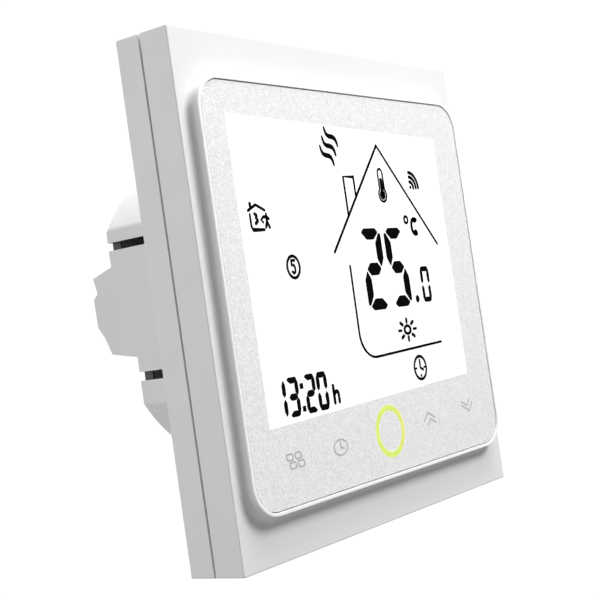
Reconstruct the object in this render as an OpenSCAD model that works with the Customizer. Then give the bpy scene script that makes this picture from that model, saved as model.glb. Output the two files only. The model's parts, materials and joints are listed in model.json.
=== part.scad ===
// Flush wall thermostat for an 86 mm square wall box.
// +Y points into the wall, +Z is up, and the wall's surface is the plane y = 0.

/* [Face] */
// Width and height of the square face
face = 86; // [85:0.5:88]
// Depth of the wall plate's rim in front of the wall
plate_depth = 4.75; // [4.7:0.05:4.9]
// Open joint between the wall plate and the front frame
joint_gap = 0.35; // [0.25:0.05:0.4]
// Depth of the front frame's outer edge
frame_edge = 5.72; // [5.7:0.02:6]
// Rise of the panel's lip above the frame's flat margin
lip_rise = 2.06; // [2:0.02:2.2]
// Radius of the frame's four outer corners
corner_r = 0.3; // [0.2:0.1:0.8]

/* [Panel] */
// Width of the glass panel
glass_w = 79.4; // [79:0.1:79.6]
// Height of the glass panel
glass_h = 69; // [68:0.5:70]
// Thickness of the glass panel
glass_t = 1.5; // [1.4:0.05:1.6]
// Radius of the glass panel's corners
glass_r = 5; // [4:0.5:6]
// How far the glass sits behind the lip's front edge
glass_set = 0.15; // [0.1:0.01:0.3]
// Width of the moulded lip round the glass
lip_wall = 0.57; // [0.5:0.01:0.7]

/* [Display] */
// Width of the liquid crystal display
lcd_w = 68; // [66:0.5:69]
// Height of the liquid crystal display
lcd_h = 50.6; // [50:0.2:51]
// Sideways place of the display's centre
lcd_x = -1.8; // [-2:0.1:0]
// Height of the display's centre above the face's centre
lcd_z = 3.8; // [3.5:0.1:4]

/* [Touch keys] */
// Spacing of the five touch keys
key_pitch = 14.6; // [14:0.1:15]
// Height of the key row, below the face's centre
key_z = -27; // [-28:0.5:-27]
// Outer radius of the lit ring behind the middle key
ring_r = 4.1; // [3.9:0.1:4.2]

/* [Rear housing] */
// Radius of the round rear housing
housing_r = 28.9; // [28.7:0.1:29.2]
// Distance of each side flat from the centre
flat_x = 24.2; // [24:0.1:24.4]
// Depth of the lower step, behind the wall's surface
lower_back = 23.1; // [23:0.1:23.5]
// Depth of the upper step
upper_back = 26.5; // [26:0.1:27]
// Depth of the middle block
middle_back = 32; // [31.9:0.1:33]
// Wall thickness of the rear housing
housing_wall = 1.6; // [1.5:0.1:1.7]

/* [Fixing] */
// Distance between the two wall box screws
box_pitch = 60; // [60:0.1:60.6]
// Width of each screw slot
slot_w = 4.2; // [4:0.1:4.4]
// Length of each screw slot
slot_l = 8; // [7:0.5:8]

/* [Terminals] */
// Number of terminals in the row
ways = 6; // [6:1:6]
// Distance between neighbouring terminals
way_pitch = 6.35; // [6.3:0.01:6.4]
// Radius of each wire entry
wire_r = 1.9; // [1.8:0.05:1.9]

/* [Hidden] */
$fn = 64;
eps = 0.5;                 // overshoot of a cut past the face it opens

// Depths along Y of the face's layers, from the wall to the room.
plate_floor = 2;
plate_front = -plate_depth;
frame_back = plate_front - joint_gap;
frame_front = frame_back - frame_edge;
lip_front = frame_front - lip_rise;
glass_front = lip_front + glass_set;
glass_back = glass_front + glass_t;
tape_t = 0.3;
ledge_front = glass_back + tape_t;
ledge_back = -9;
lcd_front = glass_back + 0.1;
lcd_back = lcd_front + 2.2;
backlight_t = 2.6;
board_front = -6.2;
board_t = 1.2;
board_back = board_front + board_t;

// Plan sizes of the two face shells.
frame_wall = 1.8;
glass_gap = 0.15;
recess_w = glass_w + 2 * glass_gap;
recess_h = glass_h + 2 * glass_gap;
recess_r = glass_r + glass_gap;
plinth_w = recess_w + 2 * lip_wall;
plinth_h = recess_h + 2 * lip_wall;
plinth_r = recess_r + lip_wall;
rib_gap = 0.3;             // gap between the rib and the front frame's wall
rib_outer = face - 2 * (frame_wall + rib_gap);
rib_wall = 1;
rib_front = board_front;
tray = rib_outer - 2 * rib_wall;
lcd_clear = 0.6;           // gap round the display in the frame's opening
pin_room = 0.2;            // extra room under the display for its pins
frame_boss = [36, 34.3];   // board screw posts, from the face's centre
frame_boss_r = 2.3;
screw_r = 0.95;            // all small self-tapping screws
screw_bite = 0.05;         // gap round a screw in its post
screw_room = 0.25;         // gap round a screw or its head elsewhere
board_screw_head = [1.9, 1.2];
cross = [2, 0.5, 0.7];     // length, width and depth of a cross recess
board_w = 77;
board_h = 75;
vent = [7, 1.5];           // length and width of one vent slit
vent_pitch = 11;
vent_y = -7.8;
pry_slot = [8, 1.6];       // length and depth of a release notch
pry_x = 20;

// Touch keys and the lit ring.
key_x = [for (i = [-2:2]) i * key_pitch];
spring_r = 2.6;
spring_wire = 0.25;
spring_turns = 3;
spring_steps = 12;         // straight pieces in one turn of a spring
spring_sides = 6;
spring_hole_r = 3.4;
tape_edge = 0.5;           // border of bare glass outside the tape
tape_clear = 0.3;          // border between the tape and the display opening
ring_wall = 1;
ring_hole_r = ring_r + 0.2;
light_h = 0.7;
light = [1.6, 0.8];
side_light_z = [-15, 0, 15];
side_light_gap = 0.5;      // gap between the display and the lights beside it

// Rear housing: side outline as depth and height, outside and inside.
step_z = 9.6;              // top of the middle block
shelf_z = -7.3;            // bottom of the middle block
seat_depth = 0.3;          // recess in the plate's back that the housing sits in
seat_gap = 0.1;
outer_side = [
    [-seat_depth, -housing_r], [lower_back, -housing_r], [lower_back, shelf_z],
    [middle_back - 2.8, shelf_z + 1.1], [middle_back - 1.5, shelf_z + 4.3],
    [middle_back - 0.1, shelf_z + 6.4],
    [middle_back, step_z - 5.3], [middle_back - 1, step_z - 4.5], [middle_back - 1.1, step_z - 4],
    [middle_back - 0.5, step_z - 1.5], [upper_back, step_z], [upper_back, housing_r], [-seat_depth, housing_r]
];
inner_side = [
    [-eps - seat_depth, -housing_r], [lower_back - housing_wall, -housing_r],
    [lower_back - housing_wall, shelf_z + 1.6],
    [middle_back - 4.4, shelf_z + 2.2], [middle_back - 2.8, shelf_z + 6.4], [middle_back - 2.8, step_z - 3.2],
    [upper_back - housing_wall, step_z - 1.7], [upper_back - housing_wall, housing_r],
    [-eps - seat_depth, housing_r]
];
groove_depth = 1.25;
groove_front = 2;
groove_end = 0.4;          // plain wall between a window's end and the back
groove_upper = [12.5, 13.95];
groove_lower = [-11.65, -10.05];
boss_high = [19.5, 17];    // housing screw posts
boss_low = [20.6, -4.8];
boss_r = 2.2;
boss_end = 10;
boss_bore = screw_r + screw_bite;
screw_l = 9;
screw_head = [2.2, 1.2];   // radius and height
rest_end = 12;             // end of the ribs that the power board rests on
rest_rib = 1.6;            // how far those ribs reach in from the wall
rest_z = [2, 4];           // height range of the two side ribs

// Power board and what stands on it.
power_front = 3;
power_back = 4.6;
power_inset = 2;
boss_room = 0.5;
post_r = 1.5;
post_at = [[-12, 21], [12, 21], [-19, 6], [19, 6]];

// Terminals.
block_z = [-18.6, -8.4];
block_back = 21.4;
block_side = 0.4;          // extra wall at each end of the row
cell_w = 5.2;
cell_y = [6.4, 19.3];
cell_z = [-17, -9];
screw_z = -13.6;
thread_r = 1.45;
thread_room = 0.1;
head_r = 2.1;
head_y = [20, 21.3];
head_room = 0.15;
driver_slot = [0.8, 0.6];
access_r = 1.9;
wire_y = 9.6;
wire_window = [37.6, 6];   // cut in the housing's curved wall, across and deep
cage_w = 4.9;
cage_z = [-16.7, -10.5];
cage_y = [6.8, 14.8];
cage_wall = 0.7;
cage_clamp = 0.8;          // thickness of the wall that presses the wire
cage_nut = 1.8;            // thickness of the threaded wall
cage_bore = 1.5;
bar_w = 3.2;
bar_y = [11.6, 12.6];
bar_z = [-16.9, -9.4];
bar_leg = 0.8;
bar_tail = 2;
bar_slot = [3.6, 1.2];

// Relay: a box with a coil whose armature swings a moving contact.
relay_at = [0, 15.6];      // centre, across and up
relay_size = [28, 12.4];
relay_foot = 1.8;
relay_top = 20.3;
relay_skin = 0.7;
relay_corner = 0.8;
coil_x = -5.5;
coil_r = 4.4;
coil_flange_r = 5;
coil_flange_t = 0.8;
core_r = 1.6;
coil_top = 15.2;
strap_t = 0.9;
yoke_x = 1.2;
yoke_t = 1.2;
yoke_w = 8;
pivot_y = 16.3;
pivot_r = 0.5;             // rounded bead on which the armature rocks
pivot_gap = 0.1;
core_end = 15.5;           // end of the core, under the armature
armature_t = 1;
armature_x = [-9.6, 3.6];
leaf_t = 0.4;
leaf_end = 8.6;
contact_r = 1.1;
contact_h = 0.5;           // height of a contact above its leaf or blade
contact_gap = 0.5;
leaf_rim = 0.4;            // leaf outside the contact on each side
blade_t = 0.6;
blade_w = 4;

// Transformer on its bobbin.
core_at = [-9.5, 0.6];
core_size = [16, 6];
core_y = [5, 24.4];
core_yoke = 2.4;
core_leg = 4.4;
core_outer = 2;
bobbin_gap = 0.1;
bobbin_t = 0.6;
flange_t = 1.4;
flange = [11.6, 10.4];
winding = [11.2, 9.8];
winding_r = 2;
rail_z = 4.35;             // the bobbin's two feet, from its middle
rail_w = 1.7;

// Other parts on the power board.
can_at = [7, 0.6];
can_r = 5;
can_top = 23.2;
can_neck = [2.6, 0.8, 0.4]; // pinch in the can: height, length and depth
can_vent = [0.4, 0.2];     // width and depth of the cross scored in its end
film_x = [12.8, 17.8];
film_z = [-4, 8.2];
film_top = 16;
fuse_at = [-19, 10];
fuse_y = 7.4;
fuse_r = 1.5;
fuse_l = 7;
fuse_cap = 1.5;
cap_t = 0.1;               // how far the fuse's caps stand out
lead_r = 0.3;
leg_out = 1;               // how far a chip's legs reach past its body
leg_in = 0.4;
leg_t = 0.4;
body_lift = 0.1;           // gap between a chip's body and its board
disc_x = [18.2, 21.2];
disc_at = [10.6, 10.4];    // depth and height of the disc's centre
disc_r = 3.9;
disc_lead = 2.5;           // the disc's leads, from its middle
bridge_at = [-12, -15.4];
bridge = [6.6, 4.8, 2.2];
chip_at = [10, -15.4];
chip = [5, 4, 1.5];

// Pin header and its socket join the two halves.
header_at = [0, 17.5];
header_pitch = 2.54;
header_cols = 4;
header_rows = 2;
header_body = [10.3, 5.2];
header_front = 0.6;
socket_end = -0.6;
pin_w = 0.64;
pin_room_w = 0.95;
pin_y = [-4.4, 4.5];
pin_end_room = 0.2;
window_room = 2;

// Parts on the control board.
cpu_at = [8, -4];
cpu = [10, 10, 1.5];
radio_at = [-20, -22];
radio = [16, 22, 0.8];
shield = [13.5, 14, 1.7];
shield_up = 2.6;
shield_corner = 0.6;
buzzer_at = [20, -24];
buzzer_r = 4.5;
buzzer_h = 2.5;
buzzer_hole = 1.1;
buzzer_floor = 1;
sensor_x = 22;
sensor_y = -7.7;
sensor_z = -39.4;
sensor_r = 1;
sensor_leads = 0.5;
sensor_lap = 1;            // how far the sensor's leads lie over the board's edge
backlight_trim = 0.6;      // how much smaller the backlight is than the display
lcd_pin = [0.5, 0.3];
lcd_pin_set = 0.4;         // start of the pins behind the display's face
lcd_pin_pitch = 2.54;
lcd_pin_count = 22;

function way_x(i) = (i - (ways + 1) / 2) * way_pitch;

// Shapes drawn across and up, then given a depth along Y.
module layer(front, back) {
    translate([0, back, 0])
        rotate([90, 0, 0])
            linear_extrude(back - front)
                children();
}

module at(p) {
    translate([p[0], 0, p[1]])
        children();
}

module rod(r, front, back) {
    layer(front, back)
        circle(r = r);
}

module rounded_rect(w, h, r) {
    square([w - 2 * r, h], center = true);
    square([w, h - 2 * r], center = true);
    for (x = [-1, 1], z = [-1, 1])
        translate([x * (w / 2 - r), z * (h / 2 - r)])
            circle(r = r);
}

module slot_shape(l, w) {
    square([l - w, w], center = true);
    for (x = [-1, 1])
        translate([x * (l - w) / 2, 0])
            circle(r = w / 2);
}

module cross_shape(l, w) {
    square([l, w], center = true);
    square([w, l], center = true);
}

module block(x, y, z) {
    translate([x[0], y[0], z[0]])
        cube([x[1] - x[0], y[1] - y[0], z[1] - z[0]]);
}

// A side outline, given as depth and height, drawn out along X.
module side_prism(outline, half_w) {
    translate([-half_w, 0, 0])
        rotate([90, 0, 90])
            linear_extrude(2 * half_w)
                polygon(outline);
}

module mirrored() {
    children();
    mirror([1, 0, 0])
        children();
}

module housing_posts() {
    for (x = [-1, 1], p = [boss_high, boss_low])
        at([x * p[0], p[1]])
            children();
}

module frame_posts() {
    for (x = [-1, 1], z = [-1, 1])
        at([x * frame_boss[0], z * frame_boss[1]])
            children();
}

// ---- wall half ----

module wall_plate() {
    color("whitesmoke") {
        wall_tray();
        for (p = post_at)
            at(p)
                rod(post_r, -plate_floor / 2, power_front);
    }
}

module wall_tray() {
    difference() {
        union() {
            layer(plate_front, 0)
                rounded_rect(face, face, corner_r);
            layer(rib_front, 0)
                square(rib_outer, center = true);
        }
        layer(rib_front - eps, -plate_floor)
            square(tray, center = true);
        for (x = [-1, 1])
            translate([x * box_pitch / 2, 0, 0])
                layer(-plate_floor - eps, eps)
                    slot_shape(slot_l, slot_w);
        housing_posts() {
            rod(screw_r + screw_room, -plate_floor - eps, eps);
            rod(screw_head[0] + screw_room, -plate_floor - eps, -plate_floor + screw_head[1]);
        }
        layer(-seat_depth, eps)
            housing_outline(-seat_gap);
        at(header_at)
            layer(-plate_floor - eps, eps)
                square([header_body[0] + window_room, header_body[1] + window_room], center = true);
        mirrored()
            block([pry_x - pry_slot[0] / 2, pry_x + pry_slot[0] / 2],
                  [plate_front - eps, plate_front + pry_slot[1]],
                  [-face / 2 - eps, -rib_outer / 2]);
    }
}

module housing_outline(inset) {
    intersection() {
        circle(r = housing_r - inset, $fn = 128);
        square([2 * (flat_x - inset), 3 * housing_r], center = true);
    }
}

module housing_body(outline, inset) {
    intersection() {
        side_prism(outline, housing_r);
        layer(-2 * eps, middle_back + eps)
            housing_outline(inset);
    }
}

// Slot in a side flat: a shallow groove out to the back, and a window through the wall.
module side_groove(z, wall_end) {
    block([flat_x - groove_depth, flat_x + eps], [groove_front, middle_back + eps], z);
    block([flat_x - housing_wall - eps, flat_x + eps],
          [groove_front, wall_end - housing_wall - groove_end], z);
}

module rear_housing() {
    color("gainsboro")
    difference() {
        union() {
            difference() {
                housing_body(outer_side, 0);
                housing_body(inner_side, housing_wall);
            }
            intersection() {
                housing_posts()
                    rod(boss_r, -seat_depth, boss_end);
                layer(-seat_depth, boss_end)
                    housing_outline(housing_wall / 2);
            }
            mirrored()
                block([flat_x - housing_wall - rest_rib, flat_x - housing_wall / 2],
                      [power_back, rest_end], rest_z);
            block([-rest_rib / 2, rest_rib / 2], [power_back, rest_end],
                  [housing_r - housing_wall - rest_rib, housing_r - housing_wall / 2]);
        }
        mirrored() {
            side_groove(groove_upper, upper_back);
            side_groove(groove_lower, lower_back);
        }
        housing_posts()
            rod(boss_bore, -seat_depth - eps, boss_end - 1);
        for (i = [1:ways])
            at([way_x(i), screw_z])
                rod(access_r, lower_back - housing_wall - eps, lower_back + eps);
        translate([0, wire_y, -housing_r])
            cube([wire_window[0], wire_window[1], 2 * (housing_r + block_z[0])], center = true);
    }
}

module housing_screws() {
    color("silver")
    housing_posts()
        difference() {
            union() {
                rod(screw_r, -plate_floor, screw_l - plate_floor);
                rod(screw_head[0], -plate_floor, -plate_floor + screw_head[1]);
            }
            cross_recess(-plate_floor);
        }
}

// Cross recess in a screw head that faces the room.
module cross_recess(front) {
    layer(front - eps, front + cross[2])
        cross_shape(cross[0], cross[1]);
}

module power_board() {
    color("darkgreen")
    difference() {
        layer(power_front, power_back)
            housing_outline(power_inset);
        housing_posts()
            rod(boss_r + boss_room, 0, boss_end);
        for (i = [1:ways])
            at([way_x(i), bar_z[1] - bar_leg / 2])
                layer(0, boss_end)
                    square(bar_slot, center = true);
        header_grid()
            layer(0, boss_end)
                square(pin_room_w, center = true);
    }
}

module terminal_block() {
    color("darkslategray")
    difference() {
        block([-ways * way_pitch / 2 - block_side, ways * way_pitch / 2 + block_side],
              [power_back, block_back], block_z);
        for (i = [1:ways])
            translate([way_x(i), 0, 0]) {
                block([-cell_w / 2, cell_w / 2], cell_y, cell_z);
                block([-bar_slot[0] / 2, bar_slot[0] / 2], [power_back - eps, cell_y[1]],
                      [bar_z[1] - bar_slot[1], cell_z[1]]);
                at([0, screw_z]) {
                    rod(thread_r + thread_room, cell_y[1] - eps, block_back);
                    rod(head_r + head_room, head_y[0], block_back + eps);
                }
                translate([0, wire_y, block_z[0] - eps])
                    cylinder(r = wire_r, h = cell_z[0] - block_z[0] + 2 * eps);
            }
    }
}

module contact_bars() {
    color("goldenrod")
    for (i = [1:ways])
        translate([way_x(i), 0, 0]) {
            block([-bar_w / 2, bar_w / 2], bar_y, bar_z);
            block([-bar_w / 2, bar_w / 2], [bar_tail, bar_y[1]], [bar_z[1] - bar_leg, bar_z[1]]);
        }
}

module terminal_screw(i) {
    color("silver")
    translate([way_x(i), 0, 0])
        at([0, screw_z])
            difference() {
                union() {
                    rod(thread_r, bar_y[1] + 2 * thread_room, head_y[1] - driver_slot[1]);
                    rod(head_r, head_y[0], head_y[1]);
                }
                layer(head_y[1] - driver_slot[1], head_y[1] + eps)
                    square([2 * head_r + eps, driver_slot[0]], center = true);
            }
}

module clamp_cage(i) {
    color("lightsteelblue")
    translate([way_x(i), 0, 0])
        difference() {
            block([-cage_w / 2, cage_w / 2], cage_y, cage_z);
            block([-cage_w / 2 + cage_wall, cage_w / 2 - cage_wall],
                  [cage_y[0] + cage_clamp, cage_y[1] - cage_nut],
                  [cage_z[0] - eps, cage_z[1] + eps]);
            at([0, screw_z])
                rod(cage_bore, cage_y[1] - cage_nut - eps, cage_y[1] + eps);
        }
}

// ---- relay ----

module relay_outline(inset) {
    rounded_rect(relay_size[0] - 2 * inset, relay_size[1] - 2 * inset, relay_corner);
}

module relay_base() {
    color("dimgray")
    at(relay_at)
        layer(power_back, power_back + relay_foot)
            relay_outline(0);
}

module relay_case() {
    color("royalblue")
    at(relay_at)
        difference() {
            layer(power_back + relay_foot, relay_top)
                relay_outline(0);
            layer(power_back + relay_foot - eps, relay_top - relay_skin)
                relay_outline(relay_skin);
        }
}

module relay_coil() {
    foot = power_back + relay_foot + strap_t;
    color("darkorange")
    at([relay_at[0] + coil_x, relay_at[1]])
        difference() {
            union() {
                rod(coil_r, foot, coil_top);
                rod(coil_flange_r, foot, foot + coil_flange_t);
                rod(coil_flange_r, coil_top - coil_flange_t, coil_top);
            }
            rod(core_r, foot - eps, coil_top + eps);
        }
}

// Iron core, base strap and upright of the magnet.
module relay_yoke() {
    foot = power_back + relay_foot;
    color("slategray")
    at(relay_at) {
        translate([coil_x, 0, 0])
            rod(core_r, foot + strap_t / 2, core_end);
        block([coil_x - core_r, yoke_x + yoke_t], [foot, foot + strap_t], [-yoke_w / 2, yoke_w / 2]);
        block([yoke_x, yoke_x + yoke_t], [foot, pivot_y - pivot_r - pivot_gap], [-yoke_w / 2, yoke_w / 2]);
    }
}

// Flat armature over the core, with the contact leaf that hangs from its far end.
module relay_armature() {
    tip_y = leaf_end + contact_r;
    color("lightgray")
    at(relay_at) {
        block(armature_x, [pivot_y, pivot_y + armature_t], [-yoke_w / 2, yoke_w / 2]);
        translate([yoke_x + yoke_t / 2, pivot_y, -yoke_w / 2])
            cylinder(r = pivot_r, h = yoke_w);
        block([armature_x[1] - leaf_t, armature_x[1]], [leaf_end, pivot_y + armature_t / 2],
              [-contact_r - leaf_rim, contact_r + leaf_rim]);
        translate([armature_x[1] - leaf_t / 2, tip_y, 0])
            rotate([0, 90, 0])
                cylinder(r = contact_r, h = leaf_t / 2 + contact_h);
    }
}

// Fixed contact on its upright blade.
module relay_contacts() {
    foot = power_back + relay_foot;
    face_x = armature_x[1] + contact_h + contact_gap;
    blade_x = face_x + contact_h;
    color("darkgoldenrod")
    at(relay_at) {
        block([blade_x, blade_x + blade_t], [foot, leaf_end + 2 * contact_r + leaf_rim],
              [-blade_w / 2, blade_w / 2]);
        translate([face_x, leaf_end + contact_r, 0])
            rotate([0, 90, 0])
                cylinder(r = contact_r, h = contact_h + blade_t / 2);
    }
}

// ---- power supply ----

module transformer_core() {
    window_w = (core_size[0] - core_leg) / 2 - core_outer;
    color("dimgray")
    at(core_at)
        difference() {
            block([-core_size[0] / 2, core_size[0] / 2], core_y, [-core_size[1] / 2, core_size[1] / 2]);
            mirrored()
                block([core_leg / 2, core_leg / 2 + window_w], [core_y[0] + core_yoke, core_y[1] - core_yoke],
                      [-core_size[1], core_size[1]]);
        }
}

module bobbin_tube(grow, front, back) {
    layer(front, back)
        square([core_leg + 2 * bobbin_gap + 2 * grow, core_size[1] + 2 * bobbin_gap + 2 * grow], center = true);
}

module transformer_bobbin() {
    front = core_y[0] + core_yoke + bobbin_gap;
    back = core_y[1] - core_yoke - bobbin_gap;
    color("saddlebrown")
    at(core_at) {
        difference() {
            union() {
                bobbin_tube(bobbin_t, front, back);
                layer(front, front + flange_t)
                    square(flange, center = true);
                layer(back - flange_t, back)
                    square(flange, center = true);
            }
            bobbin_tube(0, front - eps, back + eps);
        }
        for (s = [-1, 1])
            block([-flange[0] / 2, flange[0] / 2], [power_back, front],
                  [s * rail_z - rail_w / 2, s * rail_z + rail_w / 2]);
    }
}

module transformer_winding() {
    front = core_y[0] + core_yoke + bobbin_gap + flange_t;
    back = core_y[1] - core_yoke - bobbin_gap - flange_t;
    color("gold")
    at(core_at)
        difference() {
            layer(front, back)
                rounded_rect(winding[0], winding[1], winding_r);
            bobbin_tube(bobbin_t, front - eps, back + eps);
        }
}

module bulk_capacitor() {
    neck_y = power_back + can_neck[0];
    color("midnightblue")
    at(can_at)
        difference() {
            rod(can_r, power_back, can_top);
            difference() {
                rod(can_r + eps, neck_y, neck_y + can_neck[1]);
                rod(can_r - can_neck[2], neck_y - eps, neck_y + can_neck[1] + eps);
            }
            layer(can_top - can_vent[1], can_top + eps)
                cross_shape(can_r, can_vent[0]);
        }
}

module filter_capacitor() {
    color("goldenrod")
    block(film_x, [power_back, film_top], film_z);
}

module fuse() {
    color("lightgray")
    translate([fuse_at[0], fuse_y, fuse_at[1] - fuse_l / 2]) {
        cylinder(r = fuse_r - cap_t, h = fuse_l);
        for (z = [0, fuse_l - fuse_cap])
            translate([0, 0, z])
                cylinder(r = fuse_r, h = fuse_cap);
    }
    color("lightgray")
    for (z = [-1, 1])
        at([fuse_at[0], fuse_at[1] + z * (fuse_l - fuse_cap) / 2])
            rod(lead_r, power_back, fuse_y);
}

module varistor() {
    color("steelblue")
    translate([disc_x[0], disc_at[0], disc_at[1]])
        rotate([0, 90, 0])
            cylinder(r = disc_r, h = disc_x[1] - disc_x[0]);
    color("silver")
    for (z = [-1, 1])
        at([(disc_x[0] + disc_x[1]) / 2, disc_at[1] + z * disc_lead])
            rod(lead_r, power_back, disc_at[0] - disc_lead);
}

module flat_part(p, size, front, back) {
    at(p)
        layer(front, back)
            square([size[0], size[1]], center = true);
}

// Chip with a row of legs on each of two facing sides; foot is the legs' depth range.
module chip_legs(size, legs, foot) {
    step = size[1] / (legs + 1);
    for (s = [-1, 1], i = [1:legs])
        translate([s * (size[0] + leg_out) / 2, 0, i * step - size[1] / 2])
            layer(foot[0], foot[1])
                square([leg_out + leg_in, step / 2], center = true);
}

module rectifier() {
    color("black") {
        flat_part(bridge_at, bridge, power_front - bridge[2], power_front - body_lift);
        at(bridge_at)
            chip_legs(bridge, 2, [power_front - leg_t, power_front]);
    }
}

module supply_chip() {
    color("black") {
        flat_part(chip_at, chip, power_front - chip[2], power_front - body_lift);
        at(chip_at)
            chip_legs(chip, 4, [power_front - leg_t, power_front]);
    }
}

// ---- connector between the halves ----

module header_grid() {
    for (c = [0:header_cols - 1], r = [0:header_rows - 1])
        at([header_at[0] + (c - (header_cols - 1) / 2) * header_pitch,
            header_at[1] + (r - (header_rows - 1) / 2) * header_pitch])
            children();
}

module header_base() {
    color("black")
    difference() {
        at(header_at)
            layer(header_front, power_front)
                square(header_body, center = true);
        header_grid()
            layer(header_front - eps, power_front + eps)
                square(pin_w, center = true);
    }
}

module header_pins() {
    color("gold")
    header_grid()
        layer(pin_y[0], pin_y[1])
            square(pin_w, center = true);
}

module header_socket() {
    color("black")
    difference() {
        at(header_at)
            layer(board_back, socket_end)
                square(header_body, center = true);
        header_grid()
            layer(pin_y[0] - pin_end_room, socket_end + eps)
                square(pin_room_w, center = true);
    }
}

// ---- front half ----

module display_opening(extra) {
    translate([lcd_x, lcd_z - pin_room / 2])
        square([lcd_w + 2 * lcd_clear + extra, lcd_h + 2 * lcd_clear + pin_room + extra], center = true);
}

module key_holes(front, back) {
    for (x = key_x)
        at([x, key_z])
            rod(x == 0 ? ring_hole_r : spring_hole_r, front, back);
}

module front_frame() {
    color("white")
    difference() {
        union() {
            difference() {
                union() {
                    layer(frame_front, frame_back)
                        rounded_rect(face, face, corner_r);
                    layer(lip_front, frame_back)
                        rounded_rect(plinth_w, plinth_h, plinth_r);
                }
                layer(ledge_back, frame_back + eps)
                    square(face - 2 * frame_wall, center = true);
                layer(lip_front - eps, ledge_front)
                    rounded_rect(recess_w, recess_h, recess_r);
            }
            frame_posts()
                rod(frame_boss_r, ledge_back - eps, board_front);
        }
        layer(lip_front - eps, frame_back + eps)
            display_opening(0);
        key_holes(lip_front - eps, frame_back);
        frame_posts()
            rod(screw_r + screw_bite, ledge_back, frame_back);
        for (i = [-2:2])
            translate([i * vent_pitch, vent_y, 0])
                cube([vent[0], vent[1], face + 2 * eps], center = true);
    }
}

module glass_panel() {
    color("gainsboro")
    layer(glass_front, glass_back)
        rounded_rect(glass_w, glass_h, glass_r);
}

module panel_tape() {
    color("dimgray")
    difference() {
        layer(glass_back, ledge_front)
            rounded_rect(glass_w - 2 * tape_edge, glass_h - 2 * tape_edge, glass_r - tape_edge);
        layer(glass_back - eps, ledge_front + eps)
            display_opening(2 * tape_clear);
        key_holes(glass_back - eps, ledge_front + eps);
    }
}

module display_slab(front, back, trim) {
    translate([lcd_x, 0, lcd_z])
        layer(front, back)
            square([lcd_w - trim, lcd_h - trim], center = true);
}

module lcd_glass() {
    color("lightcyan")
    display_slab(lcd_front, lcd_back, 0);
}

module backlight() {
    color("white")
    display_slab(lcd_back, lcd_back + backlight_t, backlight_trim);
}

module lcd_pins() {
    bottom = lcd_z - lcd_h / 2;
    color("silver")
    for (i = [0:lcd_pin_count - 1])
        translate([lcd_x + (i - (lcd_pin_count - 1) / 2) * lcd_pin_pitch, 0, bottom - lcd_pin[1] / 2])
            layer(lcd_front + lcd_pin_set, board_front)
                square(lcd_pin, center = true);
}

module control_board() {
    color("darkgreen")
    difference() {
        layer(board_front, board_back)
            square([board_w, board_h], center = true);
        frame_posts()
            rod(screw_r + screw_room, board_front - eps, board_back + eps);
    }
}

module board_screws() {
    head_end = board_back + board_screw_head[1];
    color("silver")
    frame_posts()
        difference() {
            union() {
                rod(screw_r, ledge_back + screw_room, head_end - cross[2]);
                rod(board_screw_head[0], board_back, head_end);
            }
            layer(head_end - cross[2], head_end + eps)
                cross_shape(cross[0], cross[1]);
        }
}

// A wire wound round Z, swept as rings of points.
module coil(r, wire, turns, length) {
    rings = turns * spring_steps;
    points = [
        for (i = [0:rings], s = [0:spring_sides - 1])
            let (a = i * 360 / spring_steps, b = s * 360 / spring_sides, d = r + wire * cos(b))
            [d * cos(a), d * sin(a), length * i / rings + wire * sin(b)]
    ];
    sides = [
        for (i = [0:rings - 1], s = [0:spring_sides - 1])
            let (n = (s + 1) % spring_sides, p = i * spring_sides, q = p + spring_sides)
            [p + s, q + s, q + n, p + n]
    ];
    start = [for (s = [0:spring_sides - 1]) s];
    end = [for (s = [spring_sides - 1:-1:0]) rings * spring_sides + s];
    polyhedron(points, concat(sides, [start, end]));
}

module touch_springs() {
    color("silver")
    for (x = key_x)
        translate([x, board_front - spring_wire, key_z])
            rotate([90, 0, 0])
                coil(spring_r, spring_wire, spring_turns, board_front - glass_back - 2 * spring_wire);
}

module ring_light_guide() {
    color("greenyellow")
    at([0, key_z])
        difference() {
            rod(ring_r, glass_back, board_front - light_h - body_lift);
            rod(ring_r - ring_wall, glass_back - eps, board_front);
        }
}

// One light under each quarter of the ring guide, and three beside the display.
module key_lights() {
    color("lemonchiffon")
    for (a = [0:90:270])
        at([(ring_r - ring_wall / 2) * cos(a), key_z + (ring_r - ring_wall / 2) * sin(a)])
            layer(board_front - light_h, board_front)
                square(light[1], center = true);
    color("lemonchiffon")
    for (z = side_light_z)
        at([lcd_x + lcd_w / 2 + side_light_gap + light[1] / 2, lcd_z + z])
            layer(board_front - light_h, board_front)
                square([light[1], light[0]], center = true);
}

module processor_chip() {
    color("black") {
        flat_part(cpu_at, cpu, board_back + body_lift, board_back + cpu[2]);
        at(cpu_at)
            for (turn = [0, 90])
                rotate([0, turn, 0])
                    chip_legs(cpu, 11, [board_back, board_back + leg_t]);
    }
}

module wireless_board() {
    color("navy")
    flat_part(radio_at, radio, board_back, board_back + radio[2]);
}

module wireless_shield() {
    color("silver")
    at([radio_at[0], radio_at[1] + shield_up])
        layer(board_back + radio[2], board_back + radio[2] + shield[2])
            rounded_rect(shield[0], shield[1], shield_corner);
}

module buzzer() {
    color("black")
    at(buzzer_at)
        difference() {
            rod(buzzer_r, board_back, board_back + buzzer_h);
            rod(buzzer_hole, board_back + buzzer_floor, board_back + buzzer_h + eps);
        }
}

module room_sensor() {
    lead_l = sensor_lap - board_h / 2 - sensor_z;
    color("black")
    translate([sensor_x, sensor_y, sensor_z])
        sphere(r = sensor_r);
    color("black")
    for (s = [-1, 1])
        translate([sensor_x + s * sensor_leads, sensor_y, sensor_z]) {
            cylinder(r = lead_r / 2, h = lead_l);
            translate([0, 0, lead_l])
                rod(lead_r / 2, 0, board_front - sensor_y);
        }
}

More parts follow.
